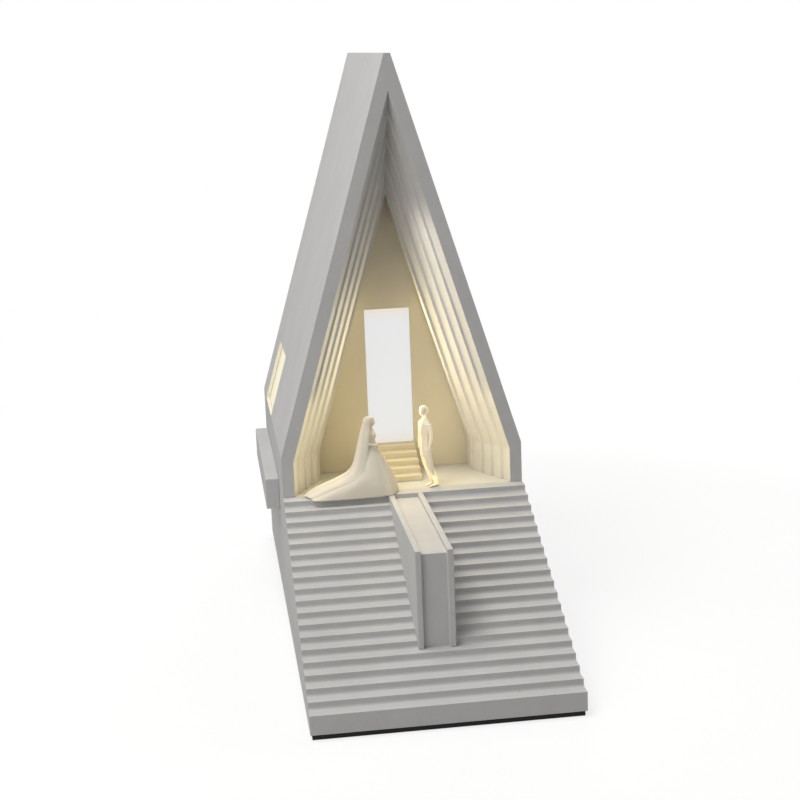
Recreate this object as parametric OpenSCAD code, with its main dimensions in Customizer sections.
// Table lamp cast in concrete: an A-frame chapel on a broad flight of stairs,
// lit from inside through opal windows, with a rechargeable pack in the hollow base.
// Millimetres, +Z up, +Y from the front lip to the rear face.
// The origin is the centre of the footprint, on the surface that the lamp stands on.

/* [Stair base] */
// Width of the stair base and of the chapel on it
base_w = 120; // [112:1:140]
// Number of treads in front of the platform
stair_steps = 18; // [16:1:20]
// Depth of one tread
tread = 6.9; // [6.6:0.1:8]
// Height of one riser
riser = 3.25; // [3.1:0.05:3.8]
// Height of the plain lip under the lowest tread
lip_h = 8.8; // [8:0.2:12]
// Length from the platform's nosing to the rear face
rear_l = 177; // [172:1:200]
// Thickness of the cast side and end walls
cast_wall = 8; // [7:0.5:10]
// Thickness of the platform over the hollow
deck_t = 8; // [7:0.5:10]
// Upright thickness of the casting under the treads
stair_t = 7; // [6:0.5:9]
// How far each side ledge stands out
ledge_out = 7; // [4:0.5:10]
// Height of each side ledge
ledge_h = 16; // [10:1:20]
// End of the side ledges in front of the rear face
ledge_rear = 16.5; // [10:0.5:30]
// Length of the side ledges
ledge_l = 115; // [90:1:120]

/* [Aisle pier] */
// Width of the pier
pier_w = 17.1; // [14:0.1:22]
// Length of the pier in front of the nosing
pier_l = 92.5; // [84:0.5:98]
// Width of each raised rib
rib_w = 2.7; // [2:0.1:4]
// How far the walkway lies below the ribs
walk_drop = 2; // [1:0.1:2.6]
// How far the front panel lies behind the ribs
panel_set = 2.1; // [1:0.1:3]

/* [Chapel shell] */
// Setback of the chapel's front behind the nosing
chapel_set = 7.4; // [7:0.1:10]
// Height of the upright side walls above the platform
eave_h = 20.4; // [18:0.2:26]
// Height of the ridge above the platform
ridge_h = 212.6; // [200:0.2:230]
// Width of the flat along the ridge
ridge_flat = 3.1; // [2:0.1:5]
// Half width of the front opening
opening_hw = 54.2; // [52:0.1:54.8]
// Height of the upright sides of the front opening
opening_eave = 17.4; // [15:0.2:18]
// Height of the front opening's point
opening_apex = 195.4; // [180:0.2:198]
// Number of stepped frames inside the front opening
reveal_count = 4; // [3:1:4]
// How far each frame steps in
reveal_in = 3.72; // [3:0.02:3.9]
// How far each frame lies behind the last
reveal_back = 6.9; // [6:0.1:7.4]
// Depth of the nave from the chapel's front to its rear wall
nave_l = 41.9; // [39:0.1:44]
// Thickness of the shell round the light chamber
shell_wall = 6; // [5.6:0.1:6.6]

/* [Nave] */
// Thickness of the nave's rear wall
nave_wall_t = 6; // [5.6:0.1:8]
// Half width of the tall window
window_hw = 11.7; // [9:0.1:13]
// Height of the tall window's foot above the platform
window_foot = 13.6; // [12:0.1:16]
// Height of the tall window
window_h = 70.9; // [60:0.1:80]
// Number of risers in the inner flight
nave_risers = 5; // [4:1:6]
// Depth of each inner tread
nave_tread = 5.4; // [4.8:0.1:5.8]

/* [Side windows] */
// End of the side windows in front of the rear face
side_win_rear = 26; // [22:0.5:34]
// Length of the side windows
side_win_l = 50; // [44:1:54]
// Height of the side windows, measured up the slope
side_win_h = 34; // [30:0.5:38]
// Depth of the bare jamb outside the opal sheet
side_jamb = 2.2; // [1.6:0.1:2.6]

/* [Opal sheets] */
// Thickness of the opal sheets
sheet_t = 2; // [1.6:0.1:2.4]
// Overlap of a sheet behind its opening
sheet_lap = 3; // [2.4:0.1:3.6]
// Thickness of the frame that clamps the tall sheet
clamp_t = 1.5; // [1.2:0.1:1.8]

/* [Light post] */
// Width of the square aluminium post
post_w = 18; // [16:0.5:22]
// Wall of the post
post_wall = 1.5; // [1.2:0.1:2]
// Height of the post
post_h = 96; // [90:1:104]
// Thickness of the post's foot
post_foot_t = 3; // [2.5:0.1:4]
// Width of the post's foot
post_foot_w = 40; // [38:1:46]
// Thickness of the circuit boards
board_t = 1.6; // [1.2:0.1:2]
// Pitch of the light chips
chip_pitch = 8; // [7:0.5:9]
// Chips on the front board
front_chips = 10; // [8:1:10]
// Chips on each side board
side_chips = 6; // [4:1:7]

/* [Underside] */
// Thickness of the foam foot pad
pad_t = 2.5; // [2:0.1:4]
// Thickness of the steel bottom plate
plate_t = 2; // [1.6:0.1:2.4]
// Diameter of one battery cell
cell_d = 18.4; // [18:0.1:18.6]
// Length of one battery cell
cell_l = 65; // [64:0.5:67]

/* [Rear service panel] */
// Width of the panel
service_w = 52; // [48:1:60]
// Height of the panel
service_h = 24; // [22:0.5:28]
// Thickness of the panel
service_t = 2.4; // [2:0.1:3]
// Diameter of the power button
button_d = 9; // [8:0.2:11]
// Travel of the power button
button_travel = 1.2; // [0.8:0.1:1.6]

/* [Figures] */
// Height of the bride
bride_h = 38.6; // [34:0.2:44]
// Height of the groom
groom_h = 42; // [36:0.2:46]

/* [Hidden] */

// Smoothness of round faces
$fn = 48;
// One overrun that carries every cut clear of its face
cut_over = 1;
// Seating gap between a piece and the seat that it is bonded in
seat_gap = 0.1;
// Gap round a piece that slides
slide_gap = 0.35;

// Levels and stations
front_y = -(stair_steps * tread + rear_l) / 2;
nose_y = front_y + stair_steps * tread;
rear_y = nose_y + rear_l;
floor_z = pad_t;
deck_z = floor_z + lip_h + stair_steps * riser;
under_deck_z = deck_z - deck_t;
half_w = base_w / 2;
pier_y = nose_y - pier_l;
chapel_y = nose_y + chapel_set;
nave_y = chapel_y + nave_l;
chamber_y = nave_y + nave_wall_t;
side_win_y = rear_y - side_win_rear - side_win_l;
ledge_y = rear_y - ledge_rear - ledge_l;

// The roof's pitch
roof_rise = (ridge_h - eave_h) * half_w / (half_w - ridge_flat / 2);
roof_apex = eave_h + roof_rise;
roof_lean = atan(half_w / roof_rise);

// Screws: shank, head and the brass inserts that take them
screw_r = 1.2;
screw_head_r = 2.6;
screw_head_h = 1.2;
insert_r = 2.1;
insert_l = 5;
insert_gap = 0.05;
screw_clear = 0.2;
drive_r = 1;
drive_depth = 0.6;

// Foot pad and bottom plate
pad_set = 0.8;
plate_rim = 4;
boss_r = 5.5;
hollow_l_share = 0.82;
hollow_front_y = nose_y - hollow_l_share * stair_steps * tread;
hollow_rear_y = rear_y - cast_wall;
hollow_hw = half_w - cast_wall;
boss_in = boss_r - plate_rim / 2;
plate_y0 = hollow_front_y - plate_rim;
plate_y1 = hollow_rear_y + plate_rim;
plate_hw = hollow_hw + plate_rim;
plate_top_z = floor_z + plate_t;
boss_xs = [-hollow_hw + boss_in, hollow_hw - boss_in];
boss_ys = [hollow_front_y + boss_in, (hollow_front_y + hollow_rear_y) / 2, hollow_rear_y - boss_in];
stair_soffit_z = deck_z - riser - stair_t;

// Tall window's sheet and clamp
sheet_hw = window_hw + sheet_lap;
sheet_foot = window_foot - sheet_lap;
sheet_h = window_h + 2 * sheet_lap;
clamp_bar = 5;
clamp_rise_share = 0.5;
sheet_y = chamber_y - clamp_t - sheet_t;
clamp_y = chamber_y - clamp_t;
clamp_hw = sheet_hw + clamp_bar;
clamp_screw_x = sheet_hw + clamp_bar / 2;
clamp_screw_zs = [sheet_foot + clamp_bar, sheet_foot + clamp_rise_share * sheet_h,
                  sheet_foot + sheet_h - clamp_bar];
clamp_screw_l = 4.6;
clamp_screw_r = 0.8;
clamp_head_r = 1.7;
clamp_head_h = 0.8;

// Rear gable panel
gable_t = 5;
gable_rim = 2.5;
gable_y = rear_y - gable_t;
gable_gap = 0.2;
gable_boss = 8;
gable_boss_l = 14;
gable_top_share = 0.62;
gable_side_xs = [-half_w + shell_wall + gable_boss / 2, half_w - shell_wall - gable_boss / 2];
gable_side_z = 9;
gable_top_z = gable_top_share * ridge_h;
gable_top_bar = 9;

// Light post
post_y = side_win_y + side_win_l / 2;
post_z = deck_z + post_foot_t;
post_screw_edge = 5;
post_screw_x = post_foot_w / 2 - post_screw_edge;
front_board_w = 12;
side_board_w = 12;
side_board_h = 58;
chip_w = 2.8;
chip_h = 3.5;
chip_t = 0.8;
board_lift = 4;
board_head = 6;
front_board_h = post_h - board_lift - board_head;
wire_r = 1.1;
lead_side_count = 10;
corner_step_count = 5;
grommet_r = 5;
grommet_bore_r = 2.6;
grommet_lip_r = 6.6;
grommet_lip_t = 1.2;

// Service panel, control board, switch and socket
service_set = 1.6;
service_lift = 27;
service_z = floor_z + service_lift;
service_y = rear_y - service_set - service_t;
service_lap = 3.5;
service_screw_edge = 4;
service_screw_x = service_w / 2 - service_screw_edge;
service_boss_r = 4;
service_boss_l = 5;
button_x = -11;
socket_x = 10;
collar_out = 1.4;
collar_r = button_d / 2 + collar_out;
collar_t = 1.2;
button_proud = 1.1;
button_dish = 0.3;
control_gap = 8.2;
control_w = 34;
control_h = 15;
control_y = service_y - control_gap - board_t;
control_post_r = 2.6;
control_screw_x = 0;
control_screw_dz = 4.6;
socket_w = 8.9;
socket_h = 3.2;
socket_wall = 0.3;
socket_slot_gap = 0.15;
socket_tongue_w = 6.6;
socket_tongue_t = 0.7;
switch_w = 6.2;
switch_l = 4.4;
plunger_r = 1.6;
plunger_sink = 2.2;
button_back_y = service_y - slide_gap - collar_t;
plunger_y = control_y + board_t + switch_l - plunger_sink + slide_gap;

// Battery pack and charge board
tray_wall = 1.6;
tray_gap = 0.3;
cell_count = 2;
cell_pitch = cell_d + 2 * tray_gap;
tray_w = cell_count * cell_pitch + 2 * tray_wall;
contact_l = 3;
leaf_t = 0.5;
tray_l = cell_l + 2 * contact_l + 2 * tray_wall;
tray_h = 13;
cell_z = plate_top_z + tray_wall + tray_gap + cell_d / 2;
cell_xs = [for (k = [0 : cell_count - 1]) -tray_w / 2 + tray_wall + (k + 1 / 2) * cell_pitch];
nub_r = 2.8;
nub_l = 1.2;
charge_w = 46;
charge_l = 34;
charge_lift = 5;
charge_rear = 29;
charge_set = 14;
charge_y = control_y - charge_rear - charge_l;
tray_y = charge_y - charge_set - tray_l;
cell_y = tray_y + tray_wall + contact_l;
charge_post_r = 2.6;
charge_screw_in = 1.2;
charge_edge = 4;
charge_top_z = plate_top_z + charge_lift + board_t;

// Dowels
dowel_r = 2;
dowel_l = 10;
dowel_gap = 0.08;
dowel_front = 60;
dowel_rear = 24;
dowel_ys = [chapel_y + dowel_front, rear_y - dowel_rear];
dowel_x = half_w - shell_wall / 2;
pier_dowel_shares = [0.26, 0.78];
pier_dowel_ys = [for (n = pier_dowel_shares) nose_y - n * pier_l];

// Bride, in shares of her height: places are across, back and up
bride_x = -15.5;
bride_set = 6.5;
bride_y = nose_y + bride_set;
gown_shares = [[0, 0], [0.27, 0], [0.25, 0.08], [0.19, 0.22], [0.12, 0.42], [0.066, 0.6], [0.078, 0.7],
               [0.084, 0.78], [0.03, 0.83], [0.026, 0.87], [0, 0.87]];
bride_head_share = [0, 0, 0.92];
head_r_share = 0.068;
veil_top_share = [-0.02, 0, 0.93];
veil_r_share = 0.062;
veil_mid_share = [-0.2, 0, 0.35];
veil_mid_r_share = 0.09;
veil_hem_share = [-0.22, 0, 0];
veil_hem_r_share = 0.2;
veil_hem_h_share = 0.04;
train_share = [-0.52, -0.02, 0];
train_r_share = 0.14;
train_h_share = 0.16;
train_end_h_share = 0.03;
bride_arm_shares = [[0.085, -0.02, 0.75], [0.06, -0.12, 0.58]];
bride_arm_r_share = 0.028;

// Groom, in shares of his height: the jacket's slices are level, width and depth
groom_x = 14.6;
groom_set = 10.6;
groom_y = nose_y + groom_set;
groom_lean = 4;
leg_share = 0.045;
ankle_r_share = 0.04;
thigh_r_share = 0.048;
hip_share = 0.5;
shoe_w_share = 0.06;
shoe_l_share = 0.1;
shoe_h_share = 0.035;
jacket_shares = [[0.42, 0.17, 0.12], [0.62, 0.15, 0.11], [0.78, 0.2, 0.11], [0.81, 0.14, 0.09]];
jacket_slice_share = 0.01;
neck_share = 0.8;
neck_r_share = 0.03;
head_share = 0.93;
groom_head_r_share = 0.066;
arm_shares = [[0.1, 0, 0.77], [0.11, -0.02, 0.48]];
arm_r_share = 0.032;

// Colours
concrete_col = [0.74, 0.74, 0.73];
warm_col = [0.83, 0.79, 0.69];
opal_col = [0.98, 0.95, 0.86];
metal_col = [0.72, 0.73, 0.75];
steel_col = [0.55, 0.56, 0.58];
brass_col = [0.78, 0.64, 0.32];
board_col = [0.93, 0.94, 0.92];
green_col = [0.10, 0.36, 0.22];
black_col = [0.08, 0.08, 0.09];
red_col = [0.70, 0.10, 0.10];
figure_col = [0.91, 0.88, 0.80];

// A gable outline above the platform: upright sides, sloping roof, flat ridge
module gable(hw, eave, apex, flat) {
  top = apex - (apex - eave) * flat / (2 * hw);
  polygon([[-hw, 0], [hw, 0], [hw, eave], [flat / 2, top], [-flat / 2, top], [-hw, eave]]);
}

// The shell's own outline, shrunk by an even wall and lifted or sunk at its foot
module shell_outline(wall, foot) {
  in_apex = roof_apex - wall / sin(roof_lean);
  in_eave = eave_h - wall * tan(roof_lean / 2);
  hw = half_w - wall;
  flat = ridge_flat;
  top = in_apex - (in_apex - in_eave) * flat / (2 * hw);
  polygon([[-hw, foot], [hw, foot], [hw, in_eave], [flat / 2, top], [-flat / 2, top], [-hw, in_eave]]);
}

// Carries an X-Z outline back along +Y from a station, standing on the platform
module run_back(y, l) {
  translate([0, y + l, deck_z]) rotate([90, 0, 0]) linear_extrude(l) children();
}

// Carries a Y-Z outline across the width, centred on X
module run_across(w, x = 0) {
  translate([x - w / 2, 0, 0]) rotate([90, 0, 90]) linear_extrude(w) children();
}

// Moves to the left roof slope: x goes inwards, z goes up the slope from the eave
module on_slope(side) {
  mirror([side > 0 ? 1 : 0, 0, 0])
    translate([-half_w, 0, deck_z + eave_h]) rotate([0, roof_lean, 0]) children();
}

// A screw along +Z from its head's outer face, with a recessed drive
module screw(l, r, head_r, head_h) {
  difference() {
    union() {
      cylinder(r = head_r, h = head_h);
      translate([0, 0, head_h]) cylinder(r = r, h = l);
    }
    translate([0, 0, -cut_over])
      cylinder(r = drive_r * head_r / screw_head_r, h = cut_over + drive_depth, $fn = 6);
  }
}

// Stations of the stair, from the nosing down to the front lip
function stair_points(y_front, last) = [for (k = [0 : last]) each [
  [nose_y - k * tread, deck_z - (k + 1) * riser],
  [max(nose_y - (k + 1) * tread, y_front), deck_z - (k + 1) * riser]]];

// One block of the round-cornered bosses that take the bottom plate's inserts
module base_bosses() {
  for (x = boss_xs, y = boss_ys)
    translate([x, y, floor_z + plate_t]) cylinder(r = boss_r, h = insert_l + cast_wall);
}

module stair_base() {
  color(concrete_col) difference() {
    union() {
      difference() {
        run_across(base_w) polygon(concat(
          [[rear_y, floor_z], [rear_y, deck_z], [nose_y, deck_z]],
          [for (k = [0 : stair_steps - 1]) each [[nose_y - k * tread, deck_z - (k + 1) * riser],
                                                 [nose_y - (k + 1) * tread, deck_z - (k + 1) * riser]]],
          [[front_y, floor_z]]));
        run_across(2 * hollow_hw) polygon([
          [hollow_front_y, floor_z - cut_over],
          [hollow_front_y, stair_soffit_z + (hollow_front_y - nose_y) * riser / tread],
          [nose_y, stair_soffit_z], [nose_y + deck_t, under_deck_z],
          [hollow_rear_y, under_deck_z], [hollow_rear_y, floor_z - cut_over]]);
      }
      for (x = [-service_screw_x, service_screw_x]) translate([x, hollow_rear_y + cut_over, service_z])
        rotate([90, 0, 0]) cylinder(r = service_boss_r, h = service_boss_l + cut_over);
      intersection() {
        base_bosses();
        translate([-hollow_hw, hollow_front_y, floor_z])
          cube([2 * hollow_hw, hollow_rear_y - hollow_front_y, deck_z - floor_z - deck_t]);
      }
    }
    translate([-plate_hw, plate_y0, floor_z - cut_over])
      cube([2 * plate_hw, plate_y1 - plate_y0, plate_t + cut_over]);
    for (x = boss_xs, y = boss_ys) translate([x, y, floor_z])
      cylinder(r = insert_r, h = plate_t + insert_l + cut_over);
    for (x = [-post_screw_x, post_screw_x]) translate([x, post_y, deck_z - insert_l - cut_over])
      cylinder(r = insert_r, h = insert_l + 2 * cut_over);
    translate([0, post_y, under_deck_z - cut_over]) cylinder(r = grommet_r, h = deck_t + 2 * cut_over);
    for (side = [-1, 1], y = dowel_ys) translate([side * dowel_x, y, deck_z - dowel_l / 2])
      cylinder(r = dowel_r, h = dowel_l);
    for (y = pier_dowel_ys) translate([0, y, stair_z(y) - dowel_l / 2]) cylinder(r = dowel_r, h = dowel_l);
    service_cut();
  }
}

// Ledge bar along one side of the base, flush with the platform
module side_ledge(side) {
  color(concrete_col) translate([side * (half_w + ledge_out / 2) - ledge_out / 2, ledge_y, deck_z - ledge_h])
    cube([ledge_out, ledge_l, ledge_h]);
}
module side_ledge_left() { side_ledge(-1); }
module side_ledge_right() { side_ledge(1); }

// Height of the tread under a station in front of the nosing
function stair_z(y) = deck_z - (floor((nose_y - y) / tread) + 1) * riser;

// Opening in the rear wall: a rebate for the service panel and a window behind it
module service_cut() {
  translate([-service_w / 2 - seat_gap, service_y, service_z - service_h / 2 - seat_gap])
    cube([service_w + 2 * seat_gap, service_t + service_set + cut_over, service_h + 2 * seat_gap]);
  hw = service_screw_x - service_boss_r;
  translate([-hw, hollow_rear_y - cut_over, service_z - service_h / 2 + service_lap])
    cube([2 * hw, cast_wall + cut_over, service_h - 2 * service_lap]);
  for (x = [-service_screw_x, service_screw_x]) translate([x, service_y + cut_over, service_z])
    rotate([90, 0, 0]) cylinder(r = insert_r, h = insert_l + 2 * cut_over);
}

// Pier: two ribs with a lower walkway and a set-back front panel between them
module aisle_pier() {
  color(concrete_col) difference() {
    union() {
      for (side = [-1, 1]) run_across(rib_w, side * (pier_w - rib_w) / 2)
        pier_outline(pier_y, deck_z);
      run_across(pier_w - rib_w) pier_outline(pier_y + panel_set, deck_z - walk_drop);
    }
    for (y = pier_dowel_ys) translate([0, y, stair_z(y) - dowel_l / 2]) cylinder(r = dowel_r, h = dowel_l);
  }
}

// Side outline of the pier: its foot follows the treads that it stands on
module pier_outline(y_front, z_top) {
  last = floor((nose_y - y_front) / tread);
  polygon(concat([[y_front, z_top], [nose_y, z_top]], stair_points(y_front, last)));
}

// Outline of the front opening after a number of steps in
module opening_outline(n) {
  hw = opening_hw - n * reveal_in;
  drop = n * reveal_in * tan(roof_lean / 2);
  translate([0, -cut_over]) square([2 * hw, 2 * cut_over], center = true);
  gable(hw, opening_eave - drop, opening_apex - n * reveal_in / sin(roof_lean), 0);
}

// Depth of one stepped frame, the last of which runs on to the nave's rear wall
function frame_l(n) = n < reveal_count ? reveal_back : nave_l - n * reveal_back + cut_over;

module chapel_shell() {
  color(concrete_col) difference() {
    run_back(chapel_y, rear_y - chapel_y) gable(half_w, eave_h, roof_apex, ridge_flat);
    for (n = [0 : reveal_count]) run_back(chapel_y + n * reveal_back - cut_over, frame_l(n) + cut_over)
      opening_outline(n);
    difference() {
      run_back(nave_y, rear_y - nave_y + cut_over) shell_outline(shell_wall, -cut_over);
      gable_bosses();
    }
    run_back(gable_y, gable_t + cut_over) shell_outline(shell_wall - gable_rim, -cut_over);
    gable_screw_holes(insert_r, gable_y - insert_l - cut_over);
    for (side = [-1, 1]) on_slope(side) {
      translate([-cut_over, side_win_y, 0])
        cube([shell_wall + 2 * cut_over, side_win_l, side_win_h]);
      translate([side_jamb, side_win_y - sheet_lap, -sheet_lap])
        cube([shell_wall, side_win_l + 2 * sheet_lap, side_win_h + 2 * sheet_lap]);
    }
    for (side = [-1, 1], y = dowel_ys) translate([side * dowel_x, y, deck_z - dowel_l / 2])
      cylinder(r = dowel_r, h = dowel_l);
  }
}

// Places of the three screws in the rear gable panel
function gable_spots() = concat([for (x = gable_side_xs) [x, gable_side_z]], [[0, gable_top_z]]);

module gable_screw_holes(r, y) {
  for (p = gable_spots()) translate([p[0], y, deck_z + p[1]])
    rotate([-90, 0, 0]) cylinder(r = r, h = rear_y - y + cut_over);
}

// Blocks inside the shell that take the rear panel's inserts
module gable_bosses() {
  boss_y = gable_y - gable_boss_l;
  boss_w = gable_boss + shell_wall;
  for (side = [-1, 1]) translate([side * (half_w - boss_w / 2) - boss_w / 2, boss_y, deck_z - cut_over])
    cube([boss_w, gable_boss_l, gable_side_z + gable_boss / 2 + cut_over]);
  translate([-half_w, boss_y, deck_z + gable_top_z - gable_top_bar / 2])
    cube([base_w, gable_boss_l, gable_top_bar]);
}

module nave_wall() {
  color(warm_col) difference() {
    run_back(nave_y, nave_wall_t) shell_outline(shell_wall + seat_gap, 0);
    translate([-window_hw, nave_y - cut_over, deck_z + window_foot])
      cube([2 * window_hw, nave_wall_t + 2 * cut_over, window_h]);
    translate([-sheet_hw - seat_gap, sheet_y, deck_z + sheet_foot - seat_gap])
      cube([2 * (sheet_hw + seat_gap), nave_wall_t, sheet_h + 2 * seat_gap]);
    translate([-clamp_hw - seat_gap, clamp_y, deck_z + sheet_foot - seat_gap])
      cube([2 * (clamp_hw + seat_gap), nave_wall_t, sheet_h + 2 * seat_gap]);
    clamp_holes(clamp_screw_r + insert_gap, chamber_y + clamp_head_h - clamp_screw_l - insert_gap);
  }
}

// Holes for the clamp's screws, bored forwards from the chamber side
module clamp_holes(r, y) {
  for (side = [-1, 1], z = clamp_screw_zs) translate([side * clamp_screw_x, y, deck_z + z])
    rotate([-90, 0, 0]) cylinder(r = r, h = chamber_y - y + cut_over);
}

module nave_steps() {
  rise = window_foot / nave_risers;
  color(warm_col) run_across(2 * window_hw) polygon(concat(
    [[nave_y, deck_z], [nave_y, deck_z + window_foot]],
    [for (k = [nave_risers : -1 : 1]) each [
      [nave_y - (nave_risers - k + 1) * nave_tread, deck_z + k * rise],
      [nave_y - (nave_risers - k + 1) * nave_tread, deck_z + (k - 1) * rise]]]));
}

module window_diffuser() {
  color(opal_col) translate([-sheet_hw, sheet_y, deck_z + sheet_foot])
    cube([2 * sheet_hw, sheet_t, sheet_h]);
}

module diffuser_clamp() {
  color(metal_col) difference() {
    translate([-clamp_hw, clamp_y, deck_z + sheet_foot]) cube([2 * clamp_hw, clamp_t, sheet_h]);
    translate([-window_hw, clamp_y - cut_over, deck_z + window_foot])
      cube([2 * window_hw, clamp_t + 2 * cut_over, window_h]);
    clamp_holes(clamp_screw_r + screw_clear, clamp_y - cut_over);
  }
}

module clamp_screws() {
  color(steel_col) for (side = [-1, 1], z = clamp_screw_zs)
    translate([side * clamp_screw_x, chamber_y + clamp_head_h, deck_z + z])
      rotate([90, 0, 0]) screw(clamp_screw_l - clamp_head_h, clamp_screw_r, clamp_head_r, clamp_head_h);
}

module side_diffuser(side) {
  lap = sheet_lap - seat_gap;
  color(opal_col) on_slope(side) translate([side_jamb, side_win_y - lap, -lap])
    cube([sheet_t, side_win_l + 2 * lap, side_win_h + 2 * lap]);
}
module side_diffuser_left() { side_diffuser(-1); }
module side_diffuser_right() { side_diffuser(1); }

module light_post() {
  color(metal_col) difference() {
    union() {
      translate([-post_w / 2, post_y - post_w / 2, post_z]) cube([post_w, post_w, post_h]);
      translate([-post_foot_w / 2, post_y - post_w / 2, deck_z]) cube([post_foot_w, post_w, post_foot_t]);
    }
    translate([-post_w / 2 + post_wall, post_y - post_w / 2 + post_wall, post_z])
      cube([post_w - 2 * post_wall, post_w - 2 * post_wall, post_h + cut_over]);
    translate([0, post_y, deck_z - cut_over])
      cylinder(r = grommet_lip_r + seat_gap, h = post_foot_t + 2 * cut_over);
    for (x = [-post_screw_x, post_screw_x]) translate([x, post_y, deck_z - cut_over])
      cylinder(r = screw_r + screw_clear, h = post_foot_t + 2 * cut_over);
  }
}

module post_screws() {
  color(steel_col) for (x = [-post_screw_x, post_screw_x])
    translate([x, post_y, post_z + screw_head_h]) rotate([180, 0, 0])
      screw(post_foot_t + insert_l, screw_r, screw_head_r, screw_head_h);
}

module led_board_front() {
  color(board_col) translate([-front_board_w / 2, post_y - post_w / 2 - board_t, post_z + board_lift])
    cube([front_board_w, board_t, front_board_h]);
}
module led_board_side(side) {
  x = side * (post_w + board_t) / 2 - board_t / 2;
  color(board_col) translate([x, post_y - side_board_w / 2, post_z + board_lift])
    cube([board_t, side_board_w, side_board_h]);
}
module led_board_left() { led_board_side(-1); }
module led_board_right() { led_board_side(1); }

// Light chips in three columns, one for each board
module led_chips() {
  color(opal_col) {
    for (k = [0 : front_chips - 1]) translate([-chip_h / 2, post_y - post_w / 2 - board_t - chip_t,
      post_z + board_lift + (k + 1 / 2) * chip_pitch]) cube([chip_h, chip_t, chip_w]);
    for (side = [-1, 1], k = [0 : side_chips - 1])
      translate([side * (post_w / 2 + board_t + chip_t / 2) - chip_t / 2, post_y - chip_h / 2,
        post_z + board_lift + (k + 1 / 2) * chip_pitch]) cube([chip_t, chip_h, chip_w]);
  }
}

// A unit vector
function unit(v) = v / norm(v);

// Points of a rounded corner at b, between a and c, which starts at a distance of r
function corner_arc(a, b, c, r) = [for (i = [0 : corner_step_count]) let (t = i / corner_step_count)
  (1 - t) * (1 - t) * (b - r * unit(b - a)) + 2 * t * (1 - t) * b + t * t * (b + r * unit(c - b))];

// A route with each inner corner rounded
function rounded_route(route, r) = concat([route[0]],
  [for (k = [1 : len(route) - 2]) each corner_arc(route[k - 1], route[k], route[k + 1], r)],
  [route[len(route) - 1]]);

// A lead of round wire along a route that lies in one upright plane along Y
module lead(route, r) {
  path = rounded_route(route, 2 * r);
  last = len(path) - 1;
  side = [1, 0, 0];
  rings = [for (k = [0 : last]) let (
    ahead = unit(path[min(k + 1, last)] - path[min(k, last - 1)]),
    behind = unit(path[max(k, 1)] - path[max(k - 1, 0)]),
    up = cross(side, unit(ahead + behind)))
    each [for (i = [0 : lead_side_count - 1]) let (turn = 360 * i / lead_side_count)
      path[k] + r * (cos(turn) * side + sin(turn) * up)]];
  polyhedron(rings, concat(
    [[for (i = [0 : lead_side_count - 1]) i]],
    [for (k = [0 : last - 1], i = [0 : lead_side_count - 1])
      let (a = k * lead_side_count, b = a + lead_side_count, j = (i + 1) % lead_side_count)
      [a + i, b + i, b + j, a + j]],
    [[for (i = [lead_side_count - 1 : -1 : 0]) last * lead_side_count + i]]));
}

// Lead from the post's inside, down through the grommet, to the charge board
module led_cable() {
  color(black_col) lead([
    [0, post_y, post_z + post_h / 3], [0, post_y, under_deck_z - cell_d / 2],
    [0, charge_y + charge_l / 2, charge_top_z + cell_d / 2],
    [0, charge_y + charge_l / 2, charge_top_z]], wire_r);
}

module cable_grommet() {
  color(black_col) difference() {
    union() {
      translate([0, post_y, under_deck_z - grommet_lip_t]) cylinder(r = grommet_lip_r, h = grommet_lip_t);
      translate([0, post_y, under_deck_z]) cylinder(r = grommet_r - seat_gap, h = deck_t);
      translate([0, post_y, deck_z]) cylinder(r = grommet_lip_r, h = grommet_lip_t);
    }
    translate([0, post_y, under_deck_z - grommet_lip_t - cut_over])
      cylinder(r = grommet_bore_r, h = deck_t + 2 * grommet_lip_t + 2 * cut_over);
  }
}

module rear_gable() {
  color(concrete_col) difference() {
    run_back(gable_y, gable_t) shell_outline(shell_wall - gable_rim + gable_gap, 0);
    gable_screw_holes(screw_r + screw_clear, gable_y - cut_over);
    gable_screw_holes(screw_head_r + screw_clear, rear_y - screw_head_h - drive_depth);
  }
}

module rear_gable_screws() {
  color(steel_col) for (p = gable_spots())
    translate([p[0], rear_y - drive_depth, deck_z + p[1]]) rotate([90, 0, 0])
      screw(gable_t - screw_head_h - drive_depth + insert_l, screw_r, screw_head_r, screw_head_h);
}

// A steel pin, half in each of the two castings that it joins
module dowel() {
  cylinder(r = dowel_r - dowel_gap, h = dowel_l - 2 * dowel_gap, center = true);
}

// Steel pins between the platform and the shell's side walls
module shell_dowels() {
  color(steel_col) for (side = [-1, 1], y = dowel_ys) translate([side * dowel_x, y, deck_z]) dowel();
}

// Steel pins between the treads and the pier
module pier_dowels() {
  color(steel_col) for (y = pier_dowel_ys) translate([0, y, stair_z(y)]) dowel();
}

module service_panel() {
  color(black_col) difference() {
    union() {
      translate([-service_w / 2, service_y, service_z - service_h / 2])
        cube([service_w, service_t, service_h]);
      control_spots(control_y + board_t) cylinder(r = control_post_r, h = control_gap);
    }
    translate([button_x, service_y - cut_over, service_z]) rotate([-90, 0, 0])
      cylinder(r = button_d / 2 + slide_gap, h = service_t + 2 * cut_over);
    socket_slot(socket_slot_gap, service_y - cut_over, service_t + 2 * cut_over);
    for (x = [-service_screw_x, service_screw_x]) translate([x, service_y - cut_over, service_z])
      rotate([-90, 0, 0]) cylinder(r = screw_r + screw_clear, h = service_t + 2 * cut_over);
    control_spots(control_y) cylinder(r = screw_r + insert_gap, h = board_t + insert_l + insert_gap);
  }
}

// The control board's two fixing points, facing the rear from a station
module control_spots(y) {
  for (dz = [-control_screw_dz, control_screw_dz]) translate([control_screw_x, y, service_z + dz])
    rotate([-90, 0, 0]) children();
}

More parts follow.
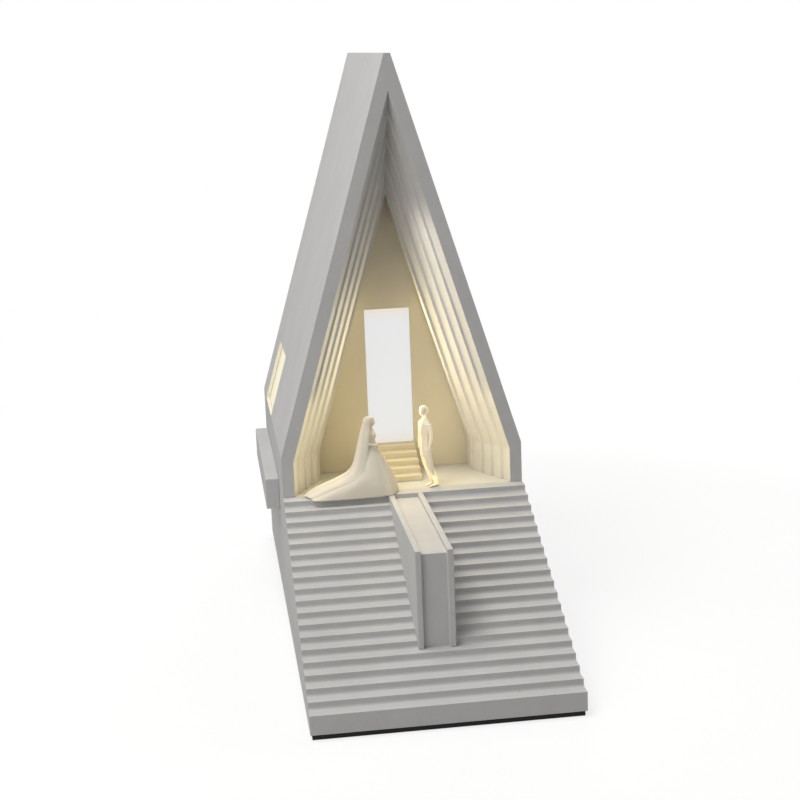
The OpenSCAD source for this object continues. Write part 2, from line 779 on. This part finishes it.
// Round-ended slot of the charging socket, grown by a gap
module socket_slot(gap, y, l) {
  r = socket_h / 2 + gap;
  translate([socket_x, y, service_z]) rotate([-90, 0, 0]) linear_extrude(l) {
    square([socket_w - socket_h, 2 * r], center = true);
    for (side = [-1, 1]) translate([side * (socket_w - socket_h) / 2, 0]) circle(r = r);
  }
}

module service_screws() {
  color(steel_col) for (x = [-service_screw_x, service_screw_x])
    translate([x, service_y + service_t + screw_head_h, service_z]) rotate([90, 0, 0])
      screw(service_t + insert_l, screw_r, screw_head_r, screw_head_h);
}

module control_board() {
  color(green_col) difference() {
    translate([-control_w / 2, control_y, service_z - control_h / 2]) cube([control_w, board_t, control_h]);
    control_spots(control_y - cut_over) cylinder(r = screw_r + screw_clear, h = board_t + 2 * cut_over);
  }
}

module board_screws() {
  color(steel_col) control_spots(control_y - screw_head_h)
    screw(board_t + insert_l, screw_r, screw_head_r, screw_head_h);
}

module usb_socket() {
  y0 = control_y + board_t;
  color(metal_col) {
    difference() {
      socket_slot(0, y0, control_gap + service_t);
      socket_slot(-socket_wall, y0 + socket_wall * 3, control_gap + service_t);
    }
    translate([socket_x - socket_tongue_w / 2, y0, service_z - socket_tongue_t / 2])
      cube([socket_tongue_w, control_gap, socket_tongue_t]);
  }
}

module switch_body() {
  y0 = control_y + board_t;
  color(black_col) difference() {
    translate([button_x - switch_w / 2, y0, service_z - switch_w / 2]) cube([switch_w, switch_l, switch_w]);
    translate([button_x, y0 + switch_l - plunger_sink - button_travel, service_z]) rotate([-90, 0, 0])
      cylinder(r = plunger_r + slide_gap, h = switch_l);
  }
}

// The plunger reaches from inside the switch to the back of the button's collar
module switch_plunger() {
  color(metal_col) translate([button_x, plunger_y, service_z]) rotate([-90, 0, 0])
    cylinder(r = plunger_r, h = button_back_y - plunger_y);
}

module power_button() {
  color(metal_col) translate([button_x, button_back_y, service_z]) rotate([-90, 0, 0]) difference() {
    union() {
      cylinder(r = collar_r, h = collar_t);
      cylinder(r = button_d / 2, h = collar_t + slide_gap + service_t + button_proud);
    }
    translate([0, 0, collar_t + slide_gap + service_t + button_proud + button_d])
      sphere(r = button_d + button_dish, $fn = 96);
  }
}

module battery_tray() {
  x0 = -tray_w / 2;
  color(black_col) difference() {
    translate([x0, tray_y, plate_top_z]) cube([tray_w, tray_l, tray_h]);
    for (x = cell_xs) translate([x, tray_y + tray_wall, cell_z])
      rotate([-90, 0, 0]) cylinder(r = cell_d / 2 + tray_gap, h = tray_l - 2 * tray_wall);
    translate([x0 + tray_wall, tray_y + tray_wall, cell_z])
      cube([tray_w - 2 * tray_wall, tray_l - 2 * tray_wall, tray_h]);
  }
}

module battery_cells() {
  color("steelblue") for (x = cell_xs)
    translate([x, cell_y, cell_z - tray_gap]) rotate([-90, 0, 0]) {
      cylinder(r = cell_d / 2, h = cell_l - nub_l);
      cylinder(r = nub_r, h = cell_l);
    }
}

// Spring contacts at both ends of each cell
module battery_contacts() {
  plate_w = cell_d / 2;
  color(brass_col) for (x = cell_xs, end = [0, 1]) {
    y = end == 0 ? tray_y + tray_wall : tray_y + tray_l - tray_wall - leaf_t;
    translate([x - plate_w / 2, y, cell_z - plate_w / 2]) cube([plate_w, leaf_t, plate_w]);
    translate([x, end == 0 ? y + leaf_t : cell_y + cell_l, cell_z - tray_gap]) rotate([-90, 0, 0])
      cylinder(r = nub_r, h = contact_l - leaf_t);
  }
}

module charge_board() {
  color(green_col) difference() {
    union() {
      translate([-charge_w / 2, charge_y, plate_top_z + charge_lift]) cube([charge_w, charge_l, board_t]);
      translate([-charge_w / 2 + 2 * charge_edge, charge_y + charge_l - 2 * charge_edge, charge_top_z])
        cube([2 * charge_edge, charge_edge, charge_edge]);
      translate([charge_edge, charge_y + charge_edge, charge_top_z])
        cube([2 * charge_edge, 2 * charge_edge, charge_edge / 2]);
    }
    charge_spots(plate_top_z) cylinder(r = screw_r + screw_clear, h = charge_lift + board_t + cut_over);
  }
}

// The charge board's four fixing points, facing up from a level
module charge_spots(z) {
  x = charge_w / 2 - charge_edge;
  for (side = [-1, 1], y = [charge_y + charge_edge, charge_y + charge_l - charge_edge])
    translate([side * x, y, z]) children();
}

module charge_board_screws() {
  color(steel_col) charge_spots(charge_top_z + screw_head_h) rotate([180, 0, 0])
    screw(board_t + charge_lift + charge_screw_in, screw_r, screw_head_r, screw_head_h);
}

// Spacers that hold the charge board off the bottom plate
module board_spacers() {
  color(brass_col) charge_spots(plate_top_z) difference() {
    cylinder(r = charge_post_r, h = charge_lift);
    translate([0, 0, -cut_over]) cylinder(r = screw_r + insert_gap, h = charge_lift + 2 * cut_over);
  }
}

// Leads between the cells, the charge board and the control board
module pack_leads() {
  pack_z = cell_z - cell_d / 4;
  front_y = charge_y + charge_edge / 2;
  back_y = charge_y + charge_l - charge_edge / 2;
  end_z = service_z - control_h / 3;
  for (side = [-1, 1]) color(side < 0 ? black_col : red_col) {
    x = side * charge_w / 4;
    lead([[x, tray_y + tray_l, pack_z], [x, tray_y + tray_l + 2 * contact_l, pack_z],
          [x, front_y, charge_top_z + 2 * wire_r], [x, front_y, charge_top_z]], wire_r);
    lead([[x, back_y, charge_top_z], [x, back_y, charge_top_z + 2 * wire_r],
          [x, control_y - control_gap, end_z], [x, control_y, end_z]], wire_r);
  }
}

module bottom_plate() {
  color(steel_col) difference() {
    translate([-plate_hw + seat_gap, plate_y0 + seat_gap, floor_z])
      cube([2 * (plate_hw - seat_gap), plate_y1 - plate_y0 - 2 * seat_gap, plate_t]);
    for (x = boss_xs, y = boss_ys) {
      translate([x, y, floor_z - cut_over]) cylinder(r = screw_r + screw_clear, h = plate_t + 2 * cut_over);
      translate([x, y, floor_z - cut_over])
        cylinder(r = screw_head_r + screw_clear, h = screw_head_h + cut_over);
    }
    charge_spots(plate_top_z - charge_screw_in - insert_gap) cylinder(r = screw_r + insert_gap, h = plate_t);
  }
}

module bottom_plate_screws() {
  color(steel_col) for (x = boss_xs, y = boss_ys) translate([x, y, floor_z])
    screw(plate_t - screw_head_h + insert_l, screw_r, screw_head_r, screw_head_h);
}

// A brass insert along +Z from its mouth
module insert_ring() {
  difference() {
    cylinder(r = insert_r - insert_gap, h = insert_l);
    translate([0, 0, -cut_over]) cylinder(r = screw_r + insert_gap, h = insert_l + 2 * cut_over);
  }
}

module threaded_inserts() {
  color(brass_col) {
    for (x = boss_xs, y = boss_ys) translate([x, y, plate_top_z]) insert_ring();
    for (x = [-post_screw_x, post_screw_x]) translate([x, post_y, deck_z]) rotate([180, 0, 0])
      insert_ring();
    for (p = gable_spots()) translate([p[0], gable_y, deck_z + p[1]]) rotate([90, 0, 0]) insert_ring();
    for (x = [-service_screw_x, service_screw_x]) translate([x, service_y, service_z]) rotate([90, 0, 0])
      insert_ring();
  }
}

module foot_pad() {
  color(black_col) translate([-half_w + pad_set, front_y + pad_set, 0])
    cube([base_w - 2 * pad_set, rear_y - front_y - 2 * pad_set, floor_z]);
}

// Bride: a fitted bodice over a full gown, a long veil behind and a train to the left
module bride_figure() {
  h = bride_h;
  color(figure_col) translate([bride_x, bride_y, deck_z]) {
    rotate_extrude() polygon(h * gown_shares);
    translate(h * bride_head_share) sphere(r = h * head_r_share);
    hull() {
      translate(h * veil_top_share) sphere(r = h * veil_r_share, $fn = 32);
      translate(h * veil_mid_share) sphere(r = h * veil_mid_r_share, $fn = 32);
      translate(h * veil_hem_share) cylinder(r = h * veil_hem_r_share, h = h * veil_hem_h_share, $fn = 32);
    }
    hull() {
      translate(h * veil_hem_share) cylinder(r = h * veil_hem_r_share, h = h * train_h_share, $fn = 32);
      translate(h * train_share) cylinder(r = h * train_r_share, h = h * train_end_h_share, $fn = 32);
    }
    for (side = [-1, 1]) hull() for (n = [0, 1])
      translate([side * h * bride_arm_shares[n][0], h * bride_arm_shares[n][1], h * bride_arm_shares[n][2]])
        sphere(r = h * bride_arm_r_share, $fn = 24);
  }
}

// Groom: legs, a fitted jacket that leans a little to the left, arms at the sides
module groom_figure() {
  h = groom_h;
  color(figure_col) translate([groom_x, groom_y, deck_z]) {
    for (side = [-1, 1]) translate([side * h * leg_share, 0, 0]) {
      cylinder(r1 = h * ankle_r_share, r2 = h * thigh_r_share, h = h * hip_share, $fn = 32);
      translate([-h * shoe_w_share / 2, -h * shoe_l_share, 0])
        cube([h * shoe_w_share, h * shoe_l_share, h * shoe_h_share]);
    }
    rotate([0, -groom_lean, 0]) {
      hull() for (p = jacket_shares) translate([-h * p[1] / 2, -h * p[2] / 2, h * p[0]])
        cube([h * p[1], h * p[2], h * jacket_slice_share]);
      translate([0, 0, h * neck_share]) cylinder(r = h * neck_r_share, h = h * (head_share - neck_share));
      translate([0, 0, h * head_share]) sphere(r = h * groom_head_r_share);
      for (side = [-1, 1]) hull() for (n = [0, 1])
        translate([side * h * arm_shares[n][0], h * arm_shares[n][1], h * arm_shares[n][2]])
          sphere(r = h * arm_r_share, $fn = 24);
    }
  }
}

stair_base();
side_ledge_left();
side_ledge_right();
aisle_pier();
chapel_shell();
nave_wall();
nave_steps();
bride_figure();
groom_figure();
window_diffuser();
diffuser_clamp();
clamp_screws();
side_diffuser_left();
side_diffuser_right();
light_post();
post_screws();
led_board_front();
led_board_left();
led_board_right();
led_chips();
led_cable();
cable_grommet();
rear_gable();
rear_gable_screws();
shell_dowels();
pier_dowels();
service_panel();
service_screws();
control_board();
board_screws();
usb_socket();
switch_body();
switch_plunger();
power_button();
battery_tray();
battery_cells();
battery_contacts();
charge_board();
charge_board_screws();
board_spacers();
pack_leads();
bottom_plate();
bottom_plate_screws();
threaded_inserts();
foot_pad();
